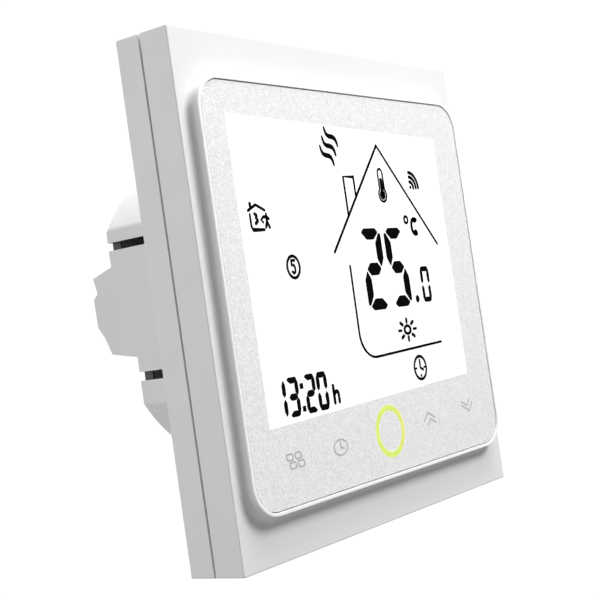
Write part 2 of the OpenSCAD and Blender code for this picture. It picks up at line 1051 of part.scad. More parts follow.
wall_plate();
rear_housing();
housing_screws();
power_board();
terminal_block();
contact_bars();
terminal_screw(1);  // terminal_screw_1
terminal_screw(2);  // terminal_screw_2
terminal_screw(3);  // terminal_screw_3
terminal_screw(4);  // terminal_screw_4
terminal_screw(5);  // terminal_screw_5
terminal_screw(6);  // terminal_screw_6
clamp_cage(1);  // clamp_cage_1
clamp_cage(2);  // clamp_cage_2
clamp_cage(3);  // clamp_cage_3
clamp_cage(4);  // clamp_cage_4
clamp_cage(5);  // clamp_cage_5
clamp_cage(6);  // clamp_cage_6
relay_base();
relay_case();
relay_coil();
relay_yoke();
relay_armature();
relay_contacts();
transformer_core();
transformer_bobbin();
transformer_winding();
bulk_capacitor();
filter_capacitor();
fuse();
varistor();
rectifier();
supply_chip();
header_base();
header_pins();
front_frame();
glass_panel();
panel_tape();
lcd_glass();
backlight();
lcd_pins();
control_board();
board_screws();
touch_springs();
ring_light_guide();
key_lights();
processor_chip();
wireless_board();
wireless_shield();
buzzer();
room_sensor();
header_socket();
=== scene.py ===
import json
import math
import random

import bmesh
import bpy
from mathutils import Matrix, Vector


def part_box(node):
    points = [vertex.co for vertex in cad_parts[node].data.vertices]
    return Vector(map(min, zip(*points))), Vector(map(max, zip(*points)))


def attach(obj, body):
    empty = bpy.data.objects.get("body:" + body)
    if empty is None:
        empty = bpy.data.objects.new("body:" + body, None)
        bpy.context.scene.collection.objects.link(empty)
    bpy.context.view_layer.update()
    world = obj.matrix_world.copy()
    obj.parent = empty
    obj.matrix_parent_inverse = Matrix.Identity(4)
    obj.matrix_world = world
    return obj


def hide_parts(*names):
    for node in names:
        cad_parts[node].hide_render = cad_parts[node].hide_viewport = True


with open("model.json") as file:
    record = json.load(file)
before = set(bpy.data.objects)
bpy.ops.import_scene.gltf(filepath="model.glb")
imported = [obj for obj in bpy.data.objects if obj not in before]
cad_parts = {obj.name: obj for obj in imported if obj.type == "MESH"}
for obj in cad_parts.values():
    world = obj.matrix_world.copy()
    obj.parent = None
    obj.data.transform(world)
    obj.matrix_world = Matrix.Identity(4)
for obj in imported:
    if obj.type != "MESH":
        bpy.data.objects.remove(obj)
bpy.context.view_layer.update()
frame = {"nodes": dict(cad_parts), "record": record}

MM = 1000.0                  # millimetres in a metre
FRONT = "front_module"       # body that pulls off the wall half


def span(node):
    """Lowest and highest corner of a CAD node at rest, in millimetres."""
    low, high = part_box(node)
    return low * MM, high * MM


# ---- Sizes: places read from the frame, then details in plain millimetres

frame_low, frame_high = span("front_frame")
glass_low, glass_high = span("glass_panel")
_, tape_high = span("panel_tape")
lcd_low, lcd_high = span("lcd_glass")
board_low, board_high = span("control_board")
power_low, _ = span("power_board")
can_low, can_high = span("bulk_capacitor")
fuse_low, fuse_high = span("fuse")
varistor_low, _ = span("varistor")
ring_low, ring_high = span("ring_light_guide")

FACE = frame_high.x          # half the width of the square face
FRAME_BACK = frame_high.y
LIP_FRONT = frame_low.y
LIP_RISE = 2.06              # rise of the lip above the face
FRAME_FRONT = LIP_FRONT + LIP_RISE
GLASS = (glass_high.x, glass_high.z)     # half width and half height
GLASS_FRONT = glass_low.y
GLASS_R = 5.0                # corner radius
LEDGE_FRONT = tape_high.y
LEDGE_BACK = -9.0            # back of the ledge that carries the panel
KEY_Z = (ring_low.z + ring_high.z) / 2
LCD_CENTRE = ((lcd_low.x + lcd_high.x) / 2, (lcd_low.z + lcd_high.z) / 2)

# Front frame profile
GLASS_GAP = 0.15
LIP_WALL = 0.57
FRAME_WALL = 1.8
CORNER_R = 0.3
EDGE_ROUND = 0.22            # front outer edge
COVE = 1.3                   # hollow fillet at the plinth's foot
LIP_ROUND = 0.1
RIM_BREAK = 0.05             # small bevel at the joint and on the lip's inner edge
OPENING = (34.6, 26.0)       # half size of the display opening
OPENING_R = 0.3
OPENING_Z = LCD_CENTRE[1] - 0.1
VENT = (7.0, 1.5)            # length and width
VENT_PITCH = 11.0
VENT_Y = -7.8
POST_AT = (36.0, 34.3)
POST_R = 2.3
POST_BORE = 1.0
KEY_PITCH = 14.6
SPRING_HOLE = 3.4
RING_HOLE = 4.3

# Slots in the housing's side flats, whose floors get painted shade: heights, and how far out their floors lie
UPPER_SLOT = (12.45, 14.0)
LOWER_SLOT = (-11.7, -10.0)
SLOT_DEPTH = (22.3, 24.05)

# Display window and ring printed on the panel
WINDOW = (32.4, 24.55)       # half width and half height
WINDOW_CENTRE = (-1.75, 3.75)
WINDOW_R = 0.25
WINDOW_TAPER = 0.035         # how much taller it is at its left end, and shorter at its right
RING_R = 4.2
RING_STROKE = 0.98
PRINT_T = 0.02               # how far a printed or lit shape stands off the panel
PRINT_SET = 0.02             # how far it reaches into the panel

# Details that the materials of single parts follow
TRACK = 0.16                 # half width of a copper track
TRACK_PITCH = 0.9
TRACK_RUN = 9.0              # length between a track's turns
HOLE_PITCH = (3.1, 40.0, 3.1)  # mean distance between plated holes
WIRE_PITCH = 0.22
TAPE_PITCH = 5.6
SLEEVE_FOLD = 0.9            # how far the capacitor's sleeve folds over its end
SLEEVE_STRIPE = 3.6          # where the stripe starts, from the middle
FUSE_DEPTH = 3.05            # depth of the fuse's tube along Y
FUSE_CAP = 1.95              # where its caps start, from the middle
DISC_LEAD = 2.4              # length of the varistor's leads
POWER_LEG = 0.1              # room for chip legs in front of the power board
PROCESSOR_LEG = 0.42         # rise of the processor's legs


# ---- Node materials

NOISE_RANGE = (0.3, 0.7)


class Shader:
    """A procedural material being put together round one Principled shader."""

    def __init__(self, name, **values):
        self.material = bpy.data.materials.new(name)
        self.material.use_nodes = True
        self.tree = self.material.node_tree
        self.surface = self.tree.nodes["Principled BSDF"]
        self.place = self.add("TexCoord").outputs["Object"]
        self.set(**values)

    def feed(self, socket, value):
        if isinstance(value, bpy.types.NodeSocket):
            self.tree.links.new(value, socket)
        else:
            socket.default_value = value

    def add(self, kind, inputs=None, **settings):
        node = self.tree.nodes.new("ShaderNode" + kind)
        for key, value in settings.items():
            setattr(node, key, value)
        for key, value in (inputs or {}).items():
            self.feed(node.inputs[key], value)
        return node

    def set(self, **values):
        """Sets sockets of the Principled shader, named with underscores for spaces."""
        for key, value in values.items():
            self.feed(self.surface.inputs[key.replace("_", " ").title().replace("Ior", "IOR")], value)

    def finished(self, **values):
        """Sets the last sockets and hands the material over."""
        self.set(**values)
        return self.material

    def scaled(self, size):
        """Object coordinates counted in steps of size millimetres along X, Y and Z."""
        steps = size if isinstance(size, tuple) else (size,) * 3
        factors = tuple(MM / step for step in steps)
        return self.add("VectorMath", {0: self.place, 1: factors}, operation="MULTIPLY").outputs[0]

    def noise(self, size, detail=3.0, roughness=0.5):
        inputs = {"Vector": self.scaled(size), "Scale": 1.0, "Detail": detail, "Roughness": roughness}
        return self.add("TexNoise", inputs).outputs["Fac"]

    def cells(self, size, randomness=1.0):
        """Cells size millimetres apart: the distance to each cell's middle, and one random level for each."""
        inputs = {"Vector": self.scaled(size), "Scale": 1.0, "Randomness": randomness}
        cell = self.add("TexVoronoi", inputs).outputs
        return cell["Distance"], self.add("SeparateColor", {0: cell["Color"]}).outputs[0]

    def levels(self, value, low, high, start=0.0, end=1.0):
        """Maps value from start..end to low..high, clamped."""
        inputs = {"Value": value, "From Min": start, "From Max": end, "To Min": low, "To Max": high}
        return self.add("MapRange", inputs).outputs[0]

    def spread(self, noise, low, high):
        """Maps the middle range, where most of a noise lies, to low..high."""
        return self.levels(noise, low, high, *NOISE_RANGE)

    def math(self, operation, a, b=0.0):
        return self.add("Math", {0: a, 1: b}, operation=operation).outputs[0]

    def mix(self, factor, a, b):
        node = self.add("Mix", data_type="RGBA")
        for socket, value in zip((node.inputs[0], node.inputs[6], node.inputs[7]), (factor, a, b)):
            self.feed(socket, value)
        return node.outputs[2]

    def axis(self, name):
        """One object coordinate, in millimetres."""
        split = self.add("SeparateXYZ", {0: self.place})
        return self.math("MULTIPLY", split.outputs[name], MM)

    def step(self, value, edge, soft=0.02):
        """0 below edge and 1 above it."""
        return self.levels(value, 0.0, 1.0, edge - soft, edge + soft)

    def below(self, value, edge, soft=0.02):
        """1 below edge and 0 above it."""
        return self.math("SUBTRACT", 1.0, self.step(value, edge, soft))

    def between(self, value, low, high, soft=0.06):
        """1 where value lies between low and high, and 0 outside."""
        return self.math("MULTIPLY", self.step(value, low, soft), self.below(value, high, soft))

    def bump(self, height, depth):
        """Normal for a relief whose height of 0 to 1 stands for depth millimetres."""
        return self.add("Bump", {"Height": height, "Distance": depth / MM}).outputs[0]


def rgb(red, green=None, blue=None):
    """A colour from one grey level or three levels."""
    if green is None:
        green = blue = red
    return red, green, blue, 1.0


def tinted(colour, factor):
    return rgb(*(min(1.0, channel * factor) for channel in colour[:3]))


def moulded(name, colour, roughness=0.4, grain=0.25, relief=0.004, mottle=0.03, **values):
    """Moulded plastic: faint mottling, a fine satin grain and an uneven gloss."""
    s = Shader(name, **values)
    mottling = s.noise(18.0)
    fine = s.noise(grain, detail=2.0)
    dirt = s.noise(4.0, detail=5.0)
    return s.finished(
        base_color=s.mix(mottling, tinted(colour, 1 - mottle), tinted(colour, 1 + mottle)),
        roughness=s.spread(dirt, roughness - 0.05, roughness + 0.07),
        normal=s.bump(fine, relief),
    )


def metal(name, colour, roughness=0.3, brush=(0.15, 4.0, 0.15), relief=0.003, tarnish=0.12, **values):
    """Bare or plated metal with drawing lines along one axis and a little tarnish."""
    s = Shader(name, metallic=1.0, **values)
    lines = s.noise(brush, detail=3.0)
    stain = s.noise(1.8, detail=5.0)
    return s.finished(
        base_color=s.mix(s.levels(stain, 0.0, 1.0, 0.35, 0.7), tinted(colour, 1 - tarnish), colour),
        roughness=s.spread(lines, roughness - 0.08, roughness + 0.1),
        normal=s.bump(lines, relief),
    )


def shell_white():
    """Satin white shell, with a painted highlight: the lip round the glass is coloured brighter white."""
    s = Shader("shell_white")
    mottling = s.noise(30.0)
    grain = s.noise(0.16, detail=2.0)
    gloss = s.noise(5.0, detail=4.0)
    # Painted highlight: everything in front of the glass's face, the lip, is coloured near white
    behind_lip = s.step(s.axis("Y"), GLASS_FRONT + 0.05, 0.1)
    return s.finished(
        base_color=s.mix(behind_lip, rgb(0.97), s.mix(mottling, rgb(0.80), rgb(0.83, 0.83, 0.825))),
        roughness=s.spread(gloss, 0.34, 0.44),
        specular_ior_level=0.45,
        normal=s.bump(grain, 0.002),
    )


def housing_white():
    """The cup's white, with painted shade: near black on the floors of the slots in its side flats."""
    s = Shader("housing_white")
    mottling = s.noise(24.0)
    grain = s.noise(0.3, detail=2.0)
    gloss = s.noise(6.0, detail=4.0)
    up = s.axis("Z")
    side = s.math("ABSOLUTE", s.axis("X"))
    # Painted shade: inside the slots the floors are coloured near black where shade falls
    in_slot = s.math("ADD", s.between(up, *UPPER_SLOT), s.between(up, *LOWER_SLOT))
    shade = s.math("MULTIPLY", in_slot, s.between(side, *SLOT_DEPTH))
    return s.finished(
        base_color=s.mix(shade, s.mix(mottling, rgb(0.76), rgb(0.79)), rgb(0.05)),
        roughness=s.spread(gloss, 0.36, 0.48),
        specular_ior_level=0.4,
        normal=s.bump(grain, 0.004),
    )


def panel_pearl():
    """Back-printed pearl lacquer with fine flakes under clear glass, and a painted glow: the halo of the lit
    ring, emitted by the panel itself.
    """
    s = Shader("panel_pearl", coat_weight=1.0, coat_roughness=0.04)
    _, flake_level = s.cells(0.2)
    cloud = s.noise(0.38, detail=4.0)
    tone = s.math("ADD", s.math("MULTIPLY", flake_level, 0.55), s.math("MULTIPLY", cloud, 0.45))
    s.set(
        base_color=s.mix(s.levels(tone, 0.0, 1.0, 0.25, 0.75), rgb(0.80), rgb(0.99)),
        roughness=s.levels(flake_level, 0.35, 0.6),
        normal=s.bump(flake_level, 0.018),
    )
    # Painted glow: the panel emits a soft halo round the ring, fading with distance from it
    ring = s.add("VectorMath", {0: s.place, 1: (0.0, 0.0, -KEY_Z / MM)}, operation="ADD").outputs[0]
    flat = s.add("VectorMath", {0: ring, 1: (MM, 0.0, MM)}, operation="MULTIPLY").outputs[0]
    radius = s.add("VectorMath", {0: flat}, operation="LENGTH").outputs["Value"]
    away = s.math("ABSOLUTE", s.math("SUBTRACT", radius, RING_R))
    halo = s.levels(away, 0.16, 0.0, RING_STROKE * 0.45, RING_STROKE * 0.85)
    return s.finished(emission_color=rgb(0.72, 0.9, 0.08), emission_strength=halo)


def display_lit():
    """White backlit display, shown on the window in the panel's front face."""
    s = Shader("display_lit", coat_weight=1.0, coat_roughness=0.03, roughness=0.5)
    glow = s.noise(22.0)
    cell = s.noise((0.3, 1.0, 0.3), detail=1.0)
    return s.finished(
        base_color=s.mix(cell, rgb(0.84), rgb(0.88)),
        emission_color=rgb(1.0),
        emission_strength=s.spread(glow, 0.30, 0.36),
    )


def display_ink():
    """Dark liquid crystal segments."""
    s = Shader("display_ink", roughness=0.6, specular_ior_level=0.0)
    grain = s.noise(0.5)
    return s.finished(base_color=s.mix(grain, rgb(0.002), rgb(0.006)))


def touch_ink():
    """Pale grey print of the touch symbols."""
    s = Shader("touch_ink", roughness=0.5, coat_weight=1.0, coat_roughness=0.05)
    grain = s.noise(0.2)
    return s.finished(base_color=s.mix(grain, rgb(0.46), rgb(0.58)))


def ring_lit():
    """Yellow-green light through the ring window, warmer towards its right side."""
    s = Shader("ring_lit", roughness=0.4, coat_weight=0.6, coat_roughness=0.1)
    patch = s.noise(2.6, detail=1.0)
    warm = s.levels(s.axis("X"), 0.0, 1.0, 0.45 * RING_R, RING_R)
    return s.finished(
        base_color=s.mix(warm, rgb(0.46, 0.55, 0.11), rgb(0.54, 0.54, 0.13)),
        emission_color=s.mix(warm, rgb(0.68, 0.90, 0.15), rgb(0.86, 0.82, 0.17)),
        emission_strength=s.spread(patch, 0.40, 0.50),
    )


def glowing(name, colour, strength):
    """A lamp, light guide or diffuser that lets light through."""
    s = Shader(name, roughness=0.35)
    cloud = s.noise(2.0)
    return s.finished(
        base_color=s.mix(cloud, tinted(colour, 0.85), colour),
        emission_color=colour,
        emission_strength=s.spread(cloud, strength * 0.8, strength),
        normal=s.bump(s.noise(0.3), 0.004),
    )


def copper_tracks(s):
    """1 on copper tracks, which run across in some regions of a board and up in the others."""
    lines = []
    for turn in (0, 90):
        inputs = {"Vector": s.place, "Rotation": (0.0, math.radians(turn), 0.0), "Scale": (MM, MM, MM)}
        spun = s.add("Mapping", inputs).outputs[0]
        inputs = {"Vector": spun, "Rotation": (math.radians(90), 0.0, 0.0)}
        laid = s.add("Mapping", inputs).outputs[0]
        inputs = {"Vector": laid, "Scale": 1.0, "Mortar Size": TRACK,
                  "Brick Width": TRACK_RUN, "Row Height": TRACK_PITCH}
        lines.append(s.add("TexBrick", inputs, offset=0.4, offset_frequency=3).outputs["Fac"])
    region = s.step(s.noise(9.0, detail=0.0), 0.5, 0.01)
    tracks = s.math("ADD", s.math("MULTIPLY", lines[0], region),
                    s.math("MULTIPLY", lines[1], s.math("SUBTRACT", 1.0, region)))
    return s.math("MULTIPLY", tracks, s.step(s.noise(5.0, detail=0.0), 0.47, 0.01))


def circuit_board(name, mask, copper):
    """Solder mask over copper tracks, with plated pads here and there, each with painted shade in its middle
    standing for the hole.
    """
    s = Shader(name, roughness=0.32, coat_weight=0.6, coat_roughness=0.15)
    tracks = copper_tracks(s)
    holes, _ = s.cells(HOLE_PITCH, randomness=0.75)
    pads = s.below(holes, 0.13, 0.01)
    # Painted shade: the middle of each pad is coloured near black, where an open hole would lie in shade
    painted_hole_shade = s.below(holes, 0.06, 0.01)
    body = s.mix(s.levels(tracks, 0.0, 0.8), mask, copper)
    body = s.mix(pads, body, rgb(0.78, 0.70, 0.45))
    body = s.mix(painted_hole_shade, body, rgb(0.02))
    weave = s.noise((0.5, 6.0, 0.5), detail=1.0)
    return s.finished(
        base_color=body,
        metallic=s.math("MULTIPLY", pads, 0.9),
        normal=s.bump(s.math("ADD", tracks, s.math("MULTIPLY", weave, 0.25)), 0.03),
    )


def wound_copper():
    """Enamelled wire wound in close turns round Y."""
    s = Shader("wound_copper", metallic=0.9, coat_weight=0.5, coat_roughness=0.2)
    turns = s.math("SINE", s.math("MULTIPLY", s.axis("Y"), 2 * math.pi / WIRE_PITCH))
    stray = s.noise((2.0, 0.25, 2.0), detail=2.0)
    return s.finished(
        base_color=s.mix(stray, rgb(0.42, 0.13, 0.04), rgb(0.72, 0.30, 0.10)),
        roughness=s.levels(stray, 0.22, 0.4),
        normal=s.bump(s.levels(turns, 0.0, 1.0, -1.0, 1.0), 0.06),
    )


def winding_tape():
    """Yellow polyester tape with lapped edges and small wrinkles."""
    s = Shader("winding_tape", coat_weight=0.4, coat_roughness=0.2)
    lap = s.step(s.math("FRACT", s.math("DIVIDE", s.axis("Y"), TAPE_PITCH)), 0.5, 0.01)
    wrinkle = s.noise((3.0, 0.8, 3.0), detail=3.0)
    return s.finished(
        base_color=s.mix(wrinkle, rgb(0.70, 0.50, 0.05), rgb(0.86, 0.68, 0.12)),
        roughness=s.spread(wrinkle, 0.25, 0.42),
        normal=s.bump(s.math("ADD", lap, s.math("MULTIPLY", wrinkle, 0.5)), 0.05),
    )


def ferrite():
    """Dark sintered core with a coarse grain."""
    s = Shader("ferrite")
    _, speck = s.cells(0.35)
    return s.finished(
        base_color=s.mix(speck, rgb(0.035), rgb(0.09, 0.09, 0.10)),
        roughness=s.levels(speck, 0.4, 0.7),
        normal=s.bump(s.noise(0.4, detail=4.0), 0.02),
    )


def can_sleeve():
    """Dark blue shrink sleeve with a pale stripe, open over the aluminium end."""
    s = Shader("can_sleeve")
    middle = Vector(((can_low.x + can_high.x) / 2, 0.0, (can_low.z + can_high.z) / 2))
    across = s.math("SUBTRACT", s.axis("X"), middle.x)
    up = s.math("SUBTRACT", s.axis("Z"), middle.z)
    reach = s.math("SQRT", s.math("ADD", s.math("POWER", across, 2.0), s.math("POWER", up, 2.0)))
    inner = s.below(reach, can_high.x - middle.x - SLEEVE_FOLD, 0.05)
    bare = s.math("MULTIPLY", s.step(s.axis("Y"), can_high.y - 0.3), inner)
    stripe = s.math("MULTIPLY", s.step(across, SLEEVE_STRIPE, 0.05), s.math("SUBTRACT", 1.0, bare))
    film = s.noise((3.0, 1.2, 3.0), detail=3.0)
    colour = s.mix(film, rgb(0.012, 0.02, 0.07), rgb(0.03, 0.045, 0.12))
    colour = s.mix(stripe, colour, rgb(0.55, 0.58, 0.62))
    return s.finished(
        base_color=s.mix(bare, colour, rgb(0.72)),
        metallic=bare,
        roughness=s.spread(film, 0.22, 0.4),
        normal=s.bump(film, 0.03),
    )


def ceramic_fuse():
    """White ceramic tube between plated caps."""
    s = Shader("ceramic_fuse")
    middle = (fuse_low.z + fuse_high.z) / 2
    away = s.math("ABSOLUTE", s.math("SUBTRACT", s.axis("Z"), middle))
    lead = s.below(s.axis("Y"), fuse_high.y - FUSE_DEPTH)
    cap = s.math("MAXIMUM", s.step(away, FUSE_CAP), lead)
    grain = s.noise(0.6, detail=4.0)
    return s.finished(
        base_color=s.mix(cap, s.mix(grain, rgb(0.72, 0.69, 0.62), rgb(0.82, 0.80, 0.75)), rgb(0.68)),
        metallic=cap,
        roughness=s.spread(grain, 0.25, 0.5),
        normal=s.bump(grain, 0.01),
    )


def epoxy_disc():
    """Dipped blue epoxy with an orange-peel surface and tinned leads."""
    s = Shader("epoxy_disc", coat_weight=0.3, coat_roughness=0.25)
    lead = s.below(s.axis("Y"), varistor_low.y + DISC_LEAD)
    peel = s.noise(0.9, detail=2.0)
    return s.finished(
        base_color=s.mix(lead, s.mix(peel, rgb(0.03, 0.10, 0.24), rgb(0.05, 0.16, 0.34)), rgb(0.7)),
        metallic=lead,
        roughness=s.spread(peel, 0.3, 0.5),
        normal=s.bump(peel, 0.08),
    )


def legged_chip(name, leg_edge, legs_behind):
    """Black moulded body with tinned legs, which lie to one side of leg_edge along Y."""
    s = Shader(name)
    side = s.step if legs_behind else s.below
    leg = side(s.axis("Y"), leg_edge, 0.01)
    grain = s.noise(0.15, detail=3.0)
    return s.finished(
        base_color=s.mix(leg, s.mix(grain, rgb(0.012), rgb(0.03)), rgb(0.66)),
        metallic=leg,
        roughness=s.spread(grain, 0.4, 0.6),
        normal=s.bump(grain, 0.01),
    )


def ceramic_body():
    """Chip resistors in black and chip capacitors in tan, by where they sit."""
    s = Shader("ceramic_body")
    _, kind = s.cells((9.0, 40.0, 9.0))
    grain = s.noise(0.3, detail=3.0)
    tan = s.mix(grain, rgb(0.36, 0.25, 0.15), rgb(0.46, 0.33, 0.21))
    return s.finished(
        base_color=s.mix(s.step(kind, 0.5, 0.01), rgb(0.02), tan),
        roughness=s.spread(grain, 0.35, 0.55),
        normal=s.bump(grain, 0.01),
    )


def make_finishes():
    """One material for each of the record's material slots."""
    return {
        "shell_white": shell_white(),
        "panel_pearl": panel_pearl(),
        "display_glass": moulded("display_glass", rgb(0.80, 0.82, 0.82), 0.12, coat_weight=1.0),
        "display_light": glowing("display_light", rgb(0.95, 0.95, 0.95), 0.5),
        "ring_light": glowing("ring_light", rgb(0.72, 0.86, 0.10), 0.35),
        "light_chip": glowing("light_chip", rgb(0.90, 0.85, 0.45), 0.4),
        "screw_steel": metal("screw_steel", rgb(0.62, 0.62, 0.60), 0.28),
        "cage_steel": metal("cage_steel", rgb(0.66, 0.67, 0.66), 0.32, brush=(0.2, 0.2, 3.0)),
        "contact_brass": metal("contact_brass", rgb(0.74, 0.56, 0.26), 0.3),
        "gold_plate": metal("gold_plate", rgb(0.83, 0.64, 0.26), 0.2),
        "pin_tin": metal("pin_tin", rgb(0.70), 0.3),
        "bare_iron": metal("bare_iron", rgb(0.50), 0.34, brush=(3.0, 0.2, 0.2)),
        "shield_tin": metal("shield_tin", rgb(0.72), 0.26, brush=(6.0, 1.0, 0.12)),
        "circuit_green": circuit_board("circuit_green", rgb(0.010, 0.10, 0.035), rgb(0.03, 0.24, 0.09)),
        "circuit_blue": circuit_board("circuit_blue", rgb(0.008, 0.018, 0.09), rgb(0.02, 0.06, 0.22)),
        "terminal_plastic": moulded("terminal_plastic", rgb(0.035, 0.04, 0.042), 0.5, relief=0.008),
        "black_plastic": moulded("black_plastic", rgb(0.02), 0.45, relief=0.006),
        "relay_blue": moulded("relay_blue", rgb(0.02, 0.09, 0.33), 0.3, relief=0.003, coat_weight=0.3),
        "copper_wire": wound_copper(),
        "ferrite": ferrite(),
        "winding_tape": winding_tape(),
        "capacitor_sleeve": can_sleeve(),
        "capacitor_yellow": moulded("capacitor_yellow", rgb(0.72, 0.50, 0.06), 0.42, relief=0.006),
        "fuse_body": ceramic_fuse(),
        "varistor_coat": epoxy_disc(),
        "chip_black": legged_chip("chip_black", power_low.y - POWER_LEG, True),
        "tape_black": moulded("tape_black", rgb(0.025), 0.85, grain=0.5, relief=0.05),
        "sensor_epoxy": moulded("sensor_epoxy", rgb(0.015), 0.25, grain=0.6, relief=0.02),
    }


# ---- Mesh tools

CORNER_STEPS = 12
FLAT_ANGLE = math.radians(32)  # sharper edges than this stay sharp
NORMAL_WEIGHT = 80


def placed(name, data):
    """A new object in the scene."""
    made = bpy.data.objects.new(name, data)
    bpy.context.scene.collection.objects.link(made)
    return made


def new_object(name, mesh_builder, *materials):
    """Makes an object from a bmesh in millimetres, with outward normals."""
    bmesh.ops.recalc_face_normals(mesh_builder, faces=mesh_builder.faces)
    bmesh.ops.scale(mesh_builder, vec=(1 / MM,) * 3, verts=mesh_builder.verts)
    mesh = bpy.data.meshes.new(name)
    mesh_builder.to_mesh(mesh)
    mesh_builder.free()
    for material in materials:
        mesh.materials.append(material)
    return placed(name, mesh)


def weigh_normals(piece, keep_sharp):
    """Keeps flat faces flat beside rounded edges."""
    weighted = piece.modifiers.new("flat_faces", "WEIGHTED_NORMAL")
    weighted.keep_sharp = keep_sharp
    weighted.weight = NORMAL_WEIGHT


def smooth(piece):
    """Smooth shading broken at sharp edges."""
    mesh = piece.data
    mesh.polygons.foreach_set("use_smooth", [True] * len(mesh.polygons))
    mesh.set_sharp_from_angle(angle=FLAT_ANGLE)
    weigh_normals(piece, True)
    return piece


def bake_modifiers(piece):
    """Replaces a piece's mesh with the result of its modifiers."""
    graph = bpy.context.evaluated_depsgraph_get()
    mesh = bpy.data.meshes.new_from_object(piece.evaluated_get(graph))
    old = piece.data
    piece.modifiers.clear()
    piece.data = mesh
    mesh.name = old.name + "_made"
    bpy.data.meshes.remove(old)


def combine(piece, other, operation):
    """Cuts other from piece or joins it on, and removes other."""
    modifier = piece.modifiers.new("cut", "BOOLEAN")
    modifier.operation = operation
    modifier.object = other
    modifier.solver = "EXACT"
    bake_modifiers(piece)
    bpy.data.objects.remove(other)


def rounded_loop(half_w, half_h, radius, y, centre=(0.0, 0.0), steps=CORNER_STEPS):
    """Points of a rounded rectangle across and up, at depth y."""
    corners = ((1, 1), (-1, 1), (-1, -1), (1, -1))
    points = []
    for quarter, (side, top) in enumerate(corners):
        for step in range(steps + 1):
            angle = math.radians(90 * (quarter + step / steps))
            x = centre[0] + side * (half_w - radius) + radius * math.cos(angle)
            z = centre[1] + top * (half_h - radius) + radius * math.sin(angle)
            points.append((x, y, z))
    return points


def circle_loop(radius, y, centre, steps=48):
    turn = 2 * math.pi / steps
    return [(centre[0] + radius * math.cos(i * turn), y, centre[1] + radius * math.sin(i * turn))
            for i in range(steps)]


def add_loft(mesh, loops, joined_round=False, material=0):
    """Skins a row of loops with the same number of points. Its ends are capped, or joined to each other."""
    rings = [[mesh.verts.new(point) for point in loop] for loop in loops]
    pairs = list(zip(rings, rings[1:]))
    if joined_round:
        pairs.append((rings[-1], rings[0]))
    else:
        for ring in (rings[0], rings[-1]):
            mesh.faces.new(ring).material_index = material
    count = len(rings[0])
    for a, b in pairs:
        for i in range(count):
            j = (i + 1) % count
            mesh.faces.new((a[i], a[j], b[j], b[i])).material_index = material
    return rings


def rods(name, radius, front, back, centres):
    """Round rods along Y at each centre, as one cutter."""
    mesh = bmesh.new()
    for centre in centres:
        add_loft(mesh, [circle_loop(radius, front, centre), circle_loop(radius, back, centre)])
    return new_object(name, mesh)


def quarter_turn(steps):
    """Sine and cosine pairs of a quarter turn, from 0 to 90 degrees."""
    for step in range(steps + 1):
        angle = math.pi / 2 * step / steps
        yield math.sin(angle), math.cos(angle)


# ---- Front frame: a shell with a raised plinth and a thin lip round the glass

def grown(half, radius, out, y):
    """A rounded rectangle made larger by out on every side."""
    return rounded_loop(half[0] + out, half[1] + out, radius + out, y)


def frame_profile():
    """Loops from the rim at the joint, over the face and lip, down into the recess and round to the back."""
    recess = [half + GLASS_GAP for half in GLASS]
    recess_r = GLASS_R + GLASS_GAP
    plinth = [half + LIP_WALL for half in recess]
    plinth_r = recess_r + LIP_WALL
    face = (FACE, FACE)
    loops = [grown(face, CORNER_R, -RIM_BREAK, FRAME_BACK),
             grown(face, CORNER_R, 0.0, FRAME_BACK - RIM_BREAK)]
    loops += [grown(face, CORNER_R, -EDGE_ROUND * (1 - cosine), FRAME_FRONT + EDGE_ROUND * (1 - sine))
              for sine, cosine in quarter_turn(6)]
    loops += [grown(plinth, plinth_r, COVE * (1 - sine), FRAME_FRONT - COVE * (1 - cosine))
              for sine, cosine in quarter_turn(8)]
    loops += [grown(plinth, plinth_r, -LIP_ROUND * (1 - cosine), LIP_FRONT + LIP_ROUND * (1 - sine))
              for sine, cosine in quarter_turn(4)]
    loops += [grown(recess, recess_r, RIM_BREAK * (1 - sine), LIP_FRONT + RIM_BREAK * (1 - cosine))
              for sine, cosine in quarter_turn(4)]
    inside = FACE - FRAME_WALL
    opening = (*OPENING, OPENING_R)
    centre = (LCD_CENTRE[0], OPENING_Z)
    loops += [
        rounded_loop(*recess, recess_r, LEDGE_FRONT),
        rounded_loop(*opening, LEDGE_FRONT, centre),
        rounded_loop(*opening, LEDGE_BACK, centre),
        rounded_loop(inside, inside, CORNER_R, LEDGE_BACK),
        rounded_loop(inside, inside, CORNER_R, FRAME_BACK),
    ]
    return loops


def make_front_frame(material):
    """The shell with its screw posts, key holes, ring hole and vents."""
    shell = bmesh.new()
    add_loft(shell, frame_profile(), joined_round=True)
    frame_piece = new_object("front_frame_shell", shell, material)
    posts = [(x * POST_AT[0], z * POST_AT[1]) for x in (-1, 1) for z in (-1, 1)]
    holes = [(i * KEY_PITCH, KEY_Z) for i in (-2, -1, 1, 2)]
    for name, radius, front, back, centres, operation in (
            ("posts", POST_R, LEDGE_BACK - 0.5, board_low.y, posts, "UNION"),
            ("post_bores", POST_BORE, LEDGE_BACK, FRAME_BACK, posts, "DIFFERENCE"),
            ("key_holes", SPRING_HOLE, LIP_FRONT, FRAME_BACK, holes, "DIFFERENCE"),
            ("ring_hole", RING_HOLE, LIP_FRONT, FRAME_BACK, [(0.0, KEY_Z)], "DIFFERENCE")):
        combine(frame_piece, rods(name, radius, front, back, centres), operation)
    slits = bmesh.new()
    for i in range(-2, 3):
        loops = []
        for z in (-FACE - 1, FACE + 1):
            flat = rounded_loop(VENT[0] / 2, VENT[1] / 2, VENT[1] / 4, 0.0)
            loops.append([(x + i * VENT_PITCH, VENT_Y + up, z) for x, _, up in flat])
        add_loft(slits, loops)
    combine(frame_piece, new_object("vents", slits), "DIFFERENCE")
    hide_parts("front_frame")
    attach(smooth(frame_piece), FRONT)


